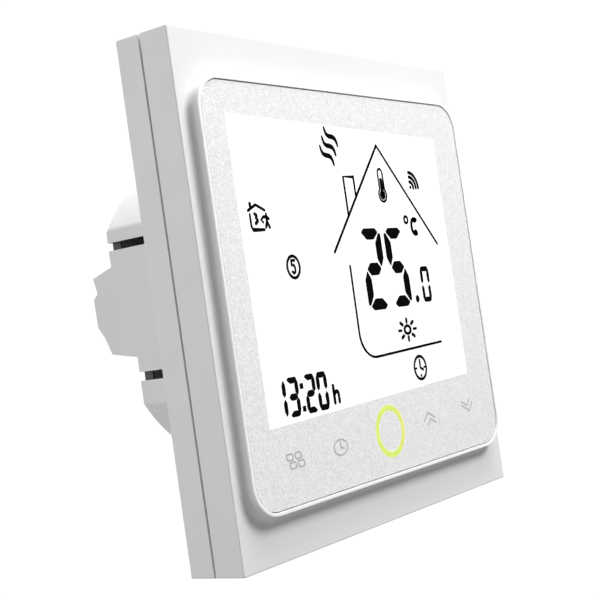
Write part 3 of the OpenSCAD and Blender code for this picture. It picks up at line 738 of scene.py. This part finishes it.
# ---- Glass panel with its display window

GLASS_EDGE = 0.12            # polished bevel


def window_loop():
    """Outline of the display window, a little out of square as in the photograph."""
    points = []
    for x, y, z in rounded_loop(*WINDOW, WINDOW_R, GLASS_FRONT):
        points.append((WINDOW_CENTRE[0] + x, y, WINDOW_CENTRE[1] + z * (1 - WINDOW_TAPER * x / WINDOW[0])))
    return points


def make_glass_panel(pearl, window):
    """One pane: pearl-printed border, and a window on its front face that shows the lit display."""
    mesh = bmesh.new()
    inner = [half - GLASS_EDGE for half in GLASS]
    loops = [
        rounded_loop(*inner, GLASS_R - GLASS_EDGE, glass_high.y),
        rounded_loop(*GLASS, GLASS_R, glass_high.y - GLASS_EDGE),
        rounded_loop(*GLASS, GLASS_R, GLASS_FRONT + GLASS_EDGE),
        rounded_loop(*inner, GLASS_R - GLASS_EDGE, GLASS_FRONT),
        window_loop(),
    ]
    rings = add_loft(mesh, loops)
    for face in mesh.faces:
        if all(vert in rings[-1] for vert in face.verts):
            face.material_index = 1
    panel = new_object("glass_panel_pane", mesh, pearl, window)
    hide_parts("glass_panel")
    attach(smooth(panel), FRONT)


# ---- Flat shapes on the panel, made into thin solids. Points are across and up from the middle of the face.

def moved(points, place, size=1.0):
    """A shape drawn round zero, put at a place and made size times as large."""
    return [(place[0] + x * size, place[1] + z * size) for x, z in points]


def arc(centre, radii, start, end, steps=16):
    """Points of an elliptical arc; angles in degrees, anticlockwise from +X."""
    points = []
    for i in range(steps + 1):
        angle = math.radians(start + (end - start) * i / steps)
        points.append((centre[0] + radii[0] * math.cos(angle), centre[1] + radii[1] * math.sin(angle)))
    return points


def softened(points, radius):
    """Rounds the corners of a closed outline, starting about radius from each corner."""
    curve = []
    for before, corner, after in zip(points[-1:] + points[:-1], points, points[1:] + points[:1]):
        corner = Vector(corner)
        ends = []
        for other in (before, after):
            edge = Vector(other) - corner
            ends.append(corner + edge * min(radius / edge.length, 0.45))
        for i in range(5):
            t = i / 4
            curve.append(tuple((1 - t) ** 2 * ends[0] + 2 * t * (1 - t) * corner + t**2 * ends[1]))
    return curve


def curve_through(points, steps=6):
    """Smooth curve through the points."""
    padded = [points[0], *points, points[-1]]
    curve = []
    for four in zip(padded, padded[1:], padded[2:], padded[3:]):
        for i in range(steps):
            t = i / steps
            curve.append(tuple(
                0.5 * (2 * b + (c - a) * t + (2 * a - 5 * b + 4 * c - d) * t**2
                       + (3 * b - a - 3 * c + d) * t**3) for a, b, c, d in zip(*four)))
    curve.append(points[-1])
    return curve


def sides_of(points, widths, closed):
    """The left and right edges of a line drawn with a width at each point."""
    count = len(points)
    left, right = [], []
    for i, (x, z) in enumerate(points):
        before = points[(i - 1) % count] if closed or i else points[i]
        after = points[(i + 1) % count] if closed or i < count - 1 else points[i]
        ahead = Vector((after[0] - before[0], after[1] - before[1])).normalized()
        near = Vector((x - before[0], z - before[1]))
        lean = ahead.dot(near.normalized()) if near.length > 1e-9 else 1.0
        half = widths[i] / 2 / max(lean, 0.5)
        left.append((x - ahead.y * half, z + ahead.x * half))
        right.append((x + ahead.y * half, z - ahead.x * half))
    return left, right


class Inlay:
    """Thin solids on the panel's face, gathered into one piece."""

    def __init__(self):
        self.mesh = bmesh.new()
        self.front = GLASS_FRONT - PRINT_T
        self.back = GLASS_FRONT + PRINT_SET

    def outline(self, points):
        """A filled shape."""
        loops = [[(x, y, z) for x, z in points] for y in (self.front, self.back)]
        add_loft(self.mesh, loops)

    def band(self, outer, inner):
        """The space between two closed outlines with the same number of points."""
        loops = [[(x, y, z) for x, z in points] for points, y in
                 ((outer, self.front), (outer, self.back), (inner, self.back), (inner, self.front))]
        add_loft(self.mesh, loops, joined_round=True)

    def line(self, points, width, ends=None):
        """A line with round ends; ends is the width there, where it tapers."""
        count = len(points)
        taper = [math.sin(math.pi * i / (count - 1)) ** 0.7 for i in range(count)]
        widths = [width if ends is None else ends + (width - ends) * t for t in taper]
        left, right = sides_of(points, widths, closed=False)
        caps = []
        for point, towards, reach in ((points[-1], left[-1], widths[-1]), (points[0], right[0], widths[0])):
            start = math.degrees(math.atan2(towards[1] - point[1], towards[0] - point[0]))
            caps.append(arc(point, (reach / 2, reach / 2), start, start - 180, 8)[1:-1])
        self.outline(left + caps[0] + right[::-1] + caps[1])

    def loop(self, points, width):
        """A closed line."""
        left, right = sides_of(points, [width] * len(points), closed=True)
        self.band(left, right)

    def ring(self, centre, radii, width, steps=48):
        self.loop(arc(centre, radii, 0, 360, steps)[:-1], width)

    def disc(self, centre, radii):
        self.outline(arc(centre, radii, 0, 360, 24)[:-1])

    def piece(self, name, material, slot):
        made = new_object(name, self.mesh, material)
        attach(made, FRONT)


SEGMENTS = {"0": "abcdef", "1": "bc", "2": "abged", "3": "abgcd", "5": "afgcd"}


def segment_outline(letter, half_w, half_h, bar, joined):
    """One bar of a seven-segment figure, round its centre. Joined bars meet at the figure's corners."""
    gap = 0.1 * bar
    if letter == "g":
        tip = half_w - (0.35 if joined else 0.55) * bar
        rise = 0.55 * bar
        return [(-tip, 0), (rise - tip, rise), (tip - rise, rise),
                (tip, 0), (tip - rise, -rise), (rise - tip, -rise)]
    if letter in "ad":
        tip = half_w - (0.2 if joined else 0.36) * bar
        low, shoulder = half_h - 0.36 * bar, tip - 0.42 * bar
        foot = tip - 0.78 * bar
        shape = [(-tip, low), (-shoulder, half_h), (shoulder, half_h), (tip, low),
                 (foot, half_h - bar), (-foot, half_h - bar)]
        return shape if letter == "a" else [(x, -z) for x, z in reversed(shape)]
    if joined:
        shape = [(half_w - 0.5 * bar, half_h - 0.3 * bar), (half_w - 0.15 * bar, half_h - 0.6 * bar),
                 (half_w, half_h - 1.1 * bar), (half_w, 0.6 * bar), (half_w - 0.45 * bar, gap),
                 (half_w - 0.92 * bar, 0.7 * bar), (half_w - 0.92 * bar, half_h - 1.1 * bar)]
    else:
        shape = [(half_w - 0.06 * bar, half_h - 0.45 * bar), (half_w, half_h - 0.66 * bar),
                 (half_w, 0.9 * bar), (half_w - 0.5 * bar, gap), (half_w - bar, 0.9 * bar),
                 (half_w - bar, half_h - 1.3 * bar), (half_w - 0.34 * bar, half_h - 0.45 * bar)]
    if letter in "ef":
        shape = [(-x, z) for x, z in reversed(shape)]
    if letter in "ce":
        shape = [(x, -z) for x, z in reversed(shape)]
    return shape


def figure(inlay, digit, centre, half_w, half_h, bar, joined=False):
    for letter in SEGMENTS[digit]:
        shape = softened(segment_outline(letter, half_w, half_h, bar, joined), 0.14 * bar)
        inlay.outline(moved(shape, centre))


def draw_temperature(ink):
    """Room temperature, with the degree sign and the unit."""
    figure(ink, "2", (2.55, 2.35), 3.55, 7.5, 2.1)
    figure(ink, "5", (10.6, 2.35), 3.4, 7.45, 2.1)
    ink.disc((15.95, -4.0), (0.66, 0.72))
    figure(ink, "0", (19.75, -1.35), 1.62, 3.45, 0.98, joined=True)
    ink.ring((15.87, 11.25), (0.64, 0.64), 0.56)
    unit = [(19.5, 11.2), (18.4, 11.3), (17.75, 10.7), (17.62, 9.9), (17.75, 9.1), (18.4, 8.5), (19.3, 8.55)]
    ink.line(curve_through(unit, 4), 0.78)
    for blob in ((18.95, 11.15), (18.85, 8.75)):
        ink.disc(blob, (0.72, 0.58))


def draw_clock_time(ink):
    """Time of day under the house, and the letter after it."""
    level, half_h, bar = -17.35, 3.25, 1.04
    for digit, x, half_w in (("1", -30.3, 1.55), ("3", -26.85, 1.56), ("2", -22.1, 1.52), ("0", -18.7, 1.52)):
        figure(ink, digit, (x, level), half_w, half_h, bar, joined=True)
    dot = [(-0.48, -0.48), (0.48, -0.48), (0.48, 0.48), (-0.48, 0.48)]
    for z in (-15.85, -19.6):
        ink.outline(softened(moved(dot, (-24.4, z)), 0.2))
    ink.line([(-15.6, -16.9), (-15.6, -19.75)], 0.74)
    arch = [(-15.5, -18.4), (-15.0, -17.95), (-14.5, -18.0), (-14.28, -18.5), (-14.25, -19.75)]
    ink.line(curve_through(arch, 4), 0.7)


def draw_house(ink):
    """House outline with chimney, and its wavy smoke."""
    stroke = 0.56
    level_stroke = 0.46
    ink.line([(-9.3, 5.85), (9.1, 25.35), (26.35, 6.35)], stroke)
    ink.line([(-3.35, 12.3), (-3.35, 19.3), (-0.1, 19.3), (-0.1, 15.9)], stroke)
    corner = arc((-0.75, -8.9), (4.6, 4.55), 180, 268, 14)
    ink.line([(-5.2, 3.2), (-5.3, -4.0), *corner[:8]], stroke)
    ink.line([*corner[7:], (22.3, -12.8)], level_stroke)
    wave = [(-7.2, 28.1), (-6.8, 27.0), (-6.1, 26.55), (-5.2, 26.45), (-4.4, 26.2), (-3.9, 25.6),
            (-3.65, 24.8)]
    for turn in range(3):
        ink.line(curve_through(moved(wave, (-0.98 * turn, -1.72 * turn))), 0.92, ends=0.44)


def draw_thermometer(ink):
    tube = arc((9.0, 20.15), (0.78, 0.78), 0, 180, 12)
    bulb = arc((9.0, 16.05), (1.27, 1.27), 128, 412, 28)
    ink.loop(tube + bulb, 0.46)
    ink.disc((9.0, 16.05), (0.92, 0.92))
    ink.line([(9.0, 16.2), (9.0, 18.8)], 0.92)


def draw_wireless(ink):
    ink.disc((19.3, 17.55), (0.36, 0.33))
    for radius in (1.2, 2.15, 3.05):
        ink.line(arc((19.2, 17.4), (radius * 0.98, radius), 2, 88, 12), 0.7)


def draw_sun(ink):
    centre = (10.75, -9.5)
    ink.band(arc(centre, (1.4, 1.0), 0, 360, 48)[:-1], arc(centre, (0.66, 0.46), 0, 360, 48)[:-1])
    for ray in range(8):
        angle = math.radians(45 * ray)
        ends = [(centre[0] + reach[0] * math.cos(angle), centre[1] + reach[1] * math.sin(angle))
                for reach in ((2.1, 1.42), (3.1, 1.95))]
        ink.line(ends, 0.5 + 0.24 * abs(math.sin(angle)))


def draw_dial(ink, centre, radii, stroke):
    """Clock face with two hands."""
    ink.ring(centre, radii, stroke)
    hands = [(0, 0.68 * radii[1]), (0, 0), (0.42 * radii[0], -0.2 * radii[1])]
    ink.line(moved(hands, centre), stroke)


def draw_programme(ink):
    """Clock mode, period number and occupied-house symbols."""
    dial = (13.3, -16.95)
    draw_dial(ink, dial, (2.1, 2.16), 0.56)
    for side in (-1, 1):
        ink.line(moved([(side * 1.3, 0), (side * 1.7, 0)], dial), 0.4)
    ink.disc((dial[0] - 0.05, dial[1] - 1.5), (0.3, 0.3))

    number = (-21.85, 3.8)
    ink.ring(number, (1.7, 1.84), 0.54)
    five = [(0.45, 1.1), (-0.4, 1.1), (-0.45, 0.3), (0.1, 0.35), (0.42, -0.15), (0.35, -0.8), (-0.05, -1.05),
            (-0.45, -0.8)]
    ink.line(moved(five, number), 0.52)

    house = (-29.7, 12.3)
    roof = [(-2.1, 1.05), (0, 2.0), (2.2, 1.1)]
    chimney = [(-1.4, 1.6), (-1.4, 2.2)]
    wall = [(-1.78, 0.4), (-1.75, -1.6), (-1.4, -2.1), (1.55, -2.1)]
    smoke = [(-0.55, 0.5), (-0.1, 0.25), (-0.25, -0.15), (0.05, -0.6), (-0.5, -1.05)]
    ink.line(moved(roof, house), 0.5)
    ink.line(moved(chimney, house), 0.62)
    ink.line(moved(wall, house), 0.5)
    ink.line(curve_through(moved(smoke, house), 4), 0.62)

    person = (house[0] + 2.45, house[1])
    ink.disc((person[0], person[1] + 0.45), (0.27, 0.27))
    for limb in (((0, 0.1), (0, -0.75)), ((-0.75, 0.0), (0, 0.0), (0.55, -0.3)), ((0, -0.75), (-0.4, -1.7)),
                 ((0, -0.75), (0.55, -1.75))):
        ink.line(moved(limb, person), 0.56)
    ink.line(moved([(-0.95, -0.05), (-1.45, -0.5), (-1.0, -0.9)], person), 0.42)


def draw_touch_keys(ink):
    """Outline symbols of the four unlit touch keys."""
    stroke = 0.3
    menu = (-28.7, -27.4)
    for column in (-1, 1):
        for row in (-1, 1):
            centre = (menu[0] + column * 1.12 - row * 0.3, menu[1] + row * 0.7)
            corners = [(-0.88, 0.5), (0.72, 0.5), (0.88, -0.5), (-0.72, -0.5)]
            ink.loop(softened(moved(corners, centre), 0.3), stroke)
    draw_dial(ink, (-15.85, -27.35), (1.95, 1.3), stroke)
    up = [(-1.75, -0.85), (-0.2, 0.55), (2.3, -0.65)]
    down = [(-2.4, 0.7), (0.3, -0.6), (1.75, 0.95)]
    for shape, place, size in ((up, (13.7, -26.1), 1.0), (up, (14.35, -27.2), 0.72),
                               (down, (29.0, -26.7), 1.0), (down, (28.4, -25.75), 0.72)):
        ink.line(moved(shape, place, size), stroke)


def make_display():
    """The figures and symbols of the display, the touch symbols and the lit ring."""
    ink = Inlay()
    for draw in (draw_temperature, draw_clock_time, draw_house, draw_thermometer, draw_wireless, draw_sun,
                 draw_programme):
        draw(ink)
    ink.piece("display_segments", display_ink(), "display_glass")
    keys = Inlay()
    draw_touch_keys(keys)
    keys.piece("touch_symbols", touch_ink(), "panel_pearl")
    ring = Inlay()
    ring.ring((0.0, KEY_Z), (RING_R, RING_R), RING_STROKE, 96)
    ring.piece("touch_ring_window", ring_lit(), "ring_light")


# ---- Small parts soldered to the back of the control board

BOARD_AREA = (32.0, 30.0)    # half size of the area that takes small parts
PART_SIZE = (1.0, 0.5)       # half length and half width
PART_RISE = 0.6
PART_CAP = 0.3               # length of each tinned end
PART_EDGE = 0.05
PART_SET = 0.02              # how far a part reaches into the board
BODY_SCALE = 0.92            # width and rise of a body beside its tinned ends
PART_ROOM = 1.6              # clear space round the larger parts
PART_TRIES = 260


def add_part(mesh, centre, upright):
    """A chip resistor or capacitor: a body and its two tinned ends."""
    length, width = PART_SIZE
    sections = ((0.0, length - PART_CAP, BODY_SCALE, 0), (length - PART_CAP / 2, PART_CAP / 2, 1.0, 1),
                (PART_CAP / 2 - length, PART_CAP / 2, 1.0, 1))
    for shift, half, scale, material in sections:
        sides = (width * scale, half) if upright else (half, width * scale)
        middle = (centre[0], centre[1] + shift) if upright else (centre[0] + shift, centre[1])
        top = board_high.y + PART_RISE * scale
        inner = [side - PART_EDGE for side in sides]
        loops = [rounded_loop(*sides, PART_EDGE, board_high.y - PART_SET, middle, 1),
                 rounded_loop(*sides, PART_EDGE, top - PART_EDGE, middle, 1),
                 rounded_loop(*inner, 0.6 * PART_EDGE, top, middle, 1)]
        add_loft(mesh, loops, material=material)


def make_board_parts(tin):
    """Spreads the small parts at random, clear of the larger ones and of each other."""
    chance = random.Random(11)
    large = [span(name) for name in
             ("processor_chip", "wireless_board", "buzzer", "room_sensor", "header_socket", "lcd_pins")]
    mesh = bmesh.new()
    taken = []
    for _ in range(PART_TRIES):
        x, z = (chance.uniform(-half, half) for half in BOARD_AREA)
        upright = chance.random() < 0.5
        near_large = any(low.x - PART_ROOM < x < high.x + PART_ROOM
                         and low.z - PART_ROOM < z < high.z + PART_ROOM for low, high in large)
        near_small = any(math.hypot(x - a, z - b) < 2 * PART_ROOM for a, b in taken)
        if near_large or near_small:
            continue
        taken.append((x, z))
        add_part(mesh, (x, z), upright)
    parts = new_object("board_small_parts", mesh, ceramic_body(), tin)
    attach(parts, FRONT)


# ---- CAD nodes: finishes from the record, with moulded edges where they show

EDGE_GROUPS = {              # nodes by the width of their rounded edges
    0.06: ["wall_plate"],
    0.08: ["power_board", "control_board", "wireless_board"],
    0.1: ["processor_chip", "rectifier", "supply_chip", "relay_yoke", "relay_armature", "header_pins"],
    0.12: ["header_base", "header_socket", "relay_coil", "contact_bars", "lcd_glass"],
    0.15: ["fuse", "housing_screws", "board_screws", "backlight"]
          + [f"{name}_{i}" for name in ("terminal_screw", "clamp_cage") for i in range(1, 7)],
    0.2: ["terminal_block", "relay_base", "transformer_core", "transformer_bobbin"],
    0.25: ["rear_housing", "wireless_shield"],
    0.3: ["bulk_capacitor", "buzzer", "transformer_winding"],
    0.4: ["relay_case"],
    0.5: ["filter_capacitor"],
    0.9: ["varistor"],
}
EDGE_BREAK = {node: width for width, nodes in EDGE_GROUPS.items() for node in nodes}
EDGE_ANGLE = math.radians(40)  # only edges sharper than this are rounded
EDGE_STEPS = 3
FLAT_LIMIT = math.radians(0.5)  # faces within this angle count as one flat face
WELD = 1e-6                  # metres


def break_edges(node, width):
    """Small rounded edges on a CAD node, by modifiers that leave its own mesh alone."""
    weld = node.modifiers.new("weld", "WELD")
    weld.merge_threshold = WELD
    flat = node.modifiers.new("flat", "DECIMATE")
    flat.decimate_type = "DISSOLVE"
    flat.angle_limit = FLAT_LIMIT
    bevel = node.modifiers.new("edges", "BEVEL")
    bevel.width = width / MM
    bevel.segments = EDGE_STEPS
    bevel.limit_method = "ANGLE"
    bevel.angle_limit = EDGE_ANGLE
    weigh_normals(node, False)


def finish_cad_nodes(finishes):
    """Gives each CAD node the material of its slot, with two that have one of their own."""
    for part in frame["record"]["subparts"]:
        node = frame["nodes"][part["node"]]
        finish = finishes[part["material_slot"]]
        if part["node"] == "processor_chip":
            finish = legged_chip("processor_black", board_high.y + PROCESSOR_LEG, False)
        if part["node"] == "rear_housing":
            finish = housing_white()
        if not node.data.materials:
            node.data.materials.append(finish)
        for index in range(len(node.data.materials)):
            node.data.materials[index] = finish
        if part["node"] in EDGE_BREAK and not node.hide_render:
            break_edges(node, EDGE_BREAK[part["node"]])


# ---- Stage, lights and camera

FLOOR_R = 1900.0             # millimetres
FLOOR_DROP = 0.6             # metres below the object's middle
SURROUND = 0.20              # light that comes from all round
BACKDROP = 1.05              # white that only the camera sees
LIGHTS_AT = (0.0, -0.01, 0.0)  # where the lights point, in metres

CAMERA_PLACE = (-190.839, -138.189, -7.157)
CAMERA_ANGLES = (55.69, 1.662, -8.308)  # turn, tilt and roll in degrees
CAMERA_LENS = 76.01
CAMERA_SENSOR = 36.0
CAMERA_SHIFT = (-0.0793, -0.0191)


def emitter(name, place, size, power):
    """A square soft white light aimed at the object; metres and watts."""
    data = bpy.data.lights.new(name, "AREA")
    data.energy = power
    data.size = size
    lamp = placed(name, data)
    lamp.location = place
    lamp.rotation_euler = (Vector(LIGHTS_AT) - Vector(place)).to_track_quat("-Z", "Y").to_euler()


def make_stage():
    """A pale floor below the object, and a plain white surround."""
    mesh = bmesh.new()
    add_loft(mesh, [circle_loop(FLOOR_R, y, (0.0, 0.0), 96) for y in (0.0, 1.0)])
    bmesh.ops.rotate(mesh, cent=(0, 0, 0), matrix=Matrix.Rotation(math.radians(90), 3, "X"), verts=mesh.verts)
    s = Shader("stage_floor", roughness=0.9, specular_ior_level=0.0)
    s.set(base_color=s.mix(s.noise(300.0), rgb(0.74), rgb(0.78)))
    floor = new_object("stage_floor", mesh, s.material)
    floor.location = (0.0, 0.0, -FLOOR_DROP)

    world = bpy.data.worlds.new("studio")
    bpy.context.scene.world = world
    world.use_nodes = True
    tree = world.node_tree
    surround = tree.nodes["Background"]
    white = tree.nodes.new("ShaderNodeBackground")
    for background, strength in ((surround, SURROUND), (white, BACKDROP)):
        background.inputs["Color"].default_value = rgb(1.0)
        background.inputs["Strength"].default_value = strength
    path = tree.nodes.new("ShaderNodeLightPath")
    mix = tree.nodes.new("ShaderNodeMixShader")
    tree.links.new(path.outputs["Is Camera Ray"], mix.inputs[0])
    tree.links.new(surround.outputs[0], mix.inputs[1])
    tree.links.new(white.outputs[0], mix.inputs[2])
    tree.links.new(mix.outputs[0], tree.nodes["World Output"].inputs["Surface"])


def make_lights():
    emitter("key_light", (0.17, -0.38, 0.40), 0.22, 3.25)
    emitter("graze_light", (0.05, -0.15, 0.62), 0.28, 3.4)
    emitter("left_light", (-0.80, 0.42, 0.10), 0.6, 3.1)
    emitter("top_light", (-0.35, 0.55, 0.75), 0.4, 1.5)


def make_camera():
    """The photograph's view: from the left, slightly below, with the camera rolled."""
    place = Vector(CAMERA_PLACE) / MM
    yaw, pitch, roll = (math.radians(angle) for angle in CAMERA_ANGLES)
    ahead = Vector((math.sin(yaw) * math.cos(pitch), math.cos(yaw) * math.cos(pitch), math.sin(pitch)))
    level = Vector((math.cos(yaw), -math.sin(yaw), 0.0))
    above = level.cross(ahead)
    right = math.cos(roll) * level + math.sin(roll) * above
    up = math.cos(roll) * above - math.sin(roll) * level
    data = bpy.data.cameras.new("photo_camera")
    data.sensor_width = CAMERA_SENSOR
    data.lens = CAMERA_LENS
    data.shift_x, data.shift_y = CAMERA_SHIFT
    data.clip_start = 0.01
    data.clip_end = 20.0
    camera = placed("photo_camera", data)
    camera.matrix_world = Matrix.Translation(place) @ Matrix((right, up, -ahead)).transposed().to_4x4()
    bpy.context.scene.camera = camera


# ---- The scene

make_camera()
make_stage()
make_lights()
bpy.context.scene.view_settings.view_transform = "Standard"

finishes = make_finishes()
make_front_frame(finishes["shell_white"])
make_glass_panel(finishes["panel_pearl"], display_lit())
make_display()
make_board_parts(finishes["pin_tin"])
finish_cad_nodes(finishes)
